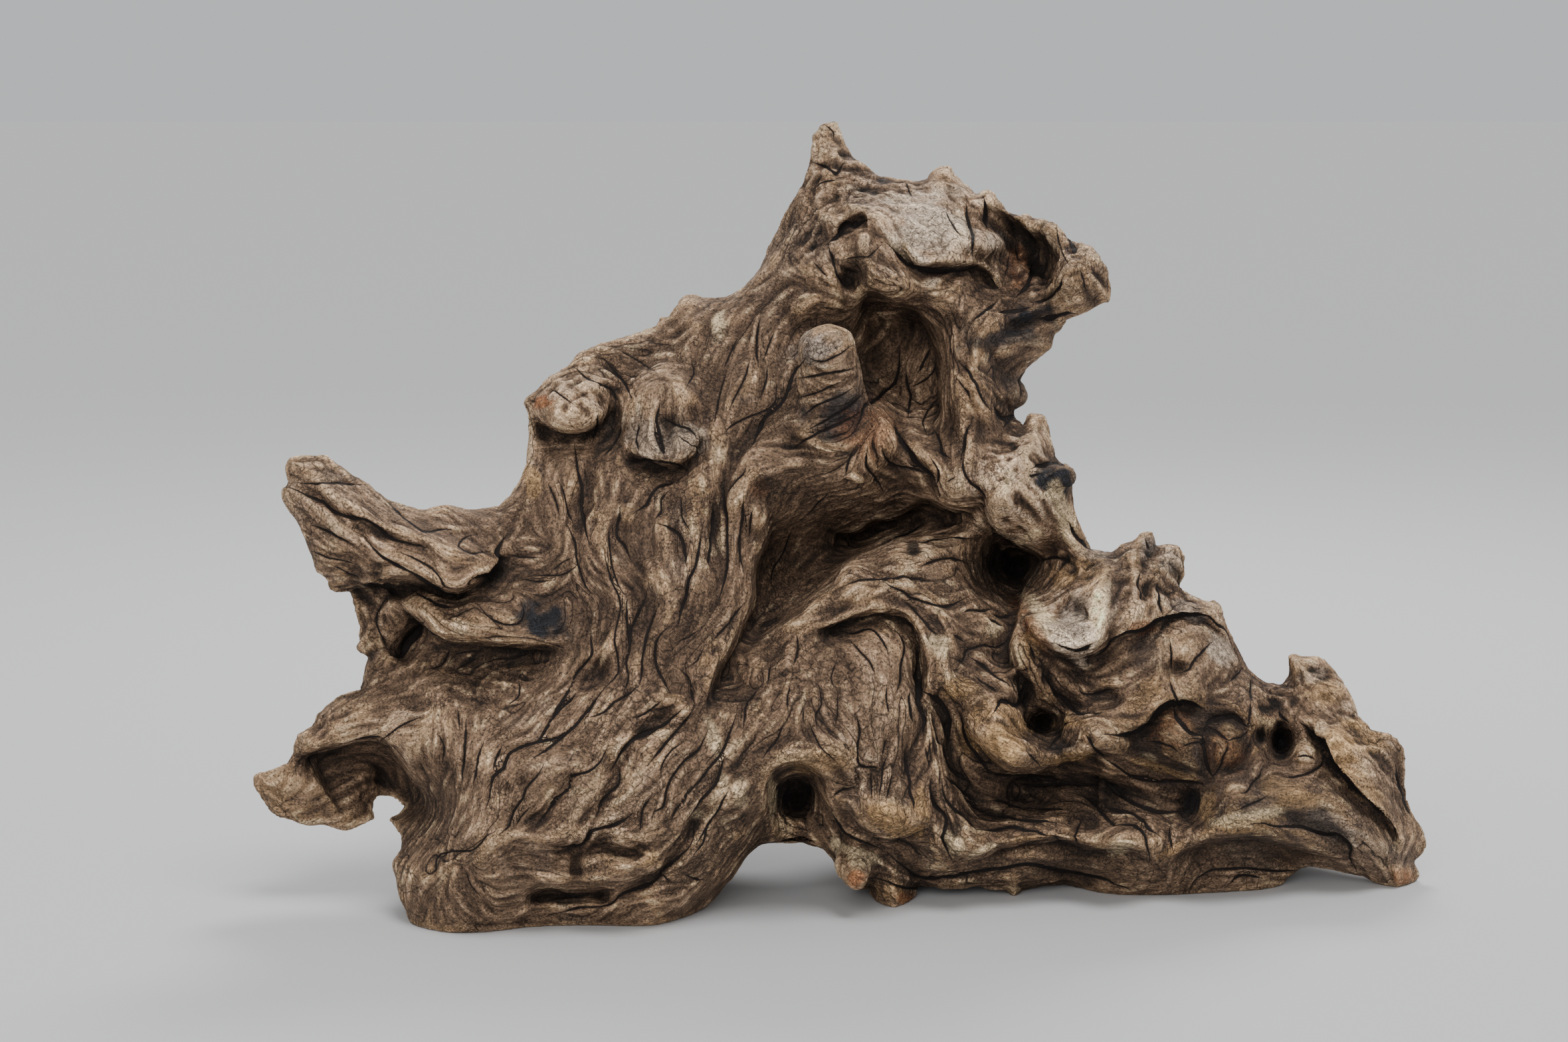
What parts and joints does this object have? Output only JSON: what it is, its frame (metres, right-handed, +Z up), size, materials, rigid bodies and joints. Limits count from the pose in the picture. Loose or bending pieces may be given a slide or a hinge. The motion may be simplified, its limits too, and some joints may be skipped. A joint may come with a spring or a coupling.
{
  "type": "terrarium root wood",
  "caption": "Weathered branching root wood for a tank or terrarium, with a knobbed crown, a left horn, a broad fan of strands and a long right root.",
  "frame": {"origin": "Middle of the wood's bounding box, on the floor that it rests on", "axes": "+X runs along the wood's length towards the long right root, +Y points to its back, +Z is up. The front, with the hollow and the arch, faces -Y"},
  "size_m": [0.4476, 0.1746, 0.2939],
  "materials": {
    "wood": "dry weathered wood, matt, brown with tan ridges, dark cracks and grey charred patches"
  },
  "bodies": {
    "root": {"crown": "wood", "left_shoulder": "wood", "left_horn": "wood", "lower_left_root": "wood", "right_root": "wood", "left_fan": "wood", "middle_root": "wood"}
  },
  "joints": []
}
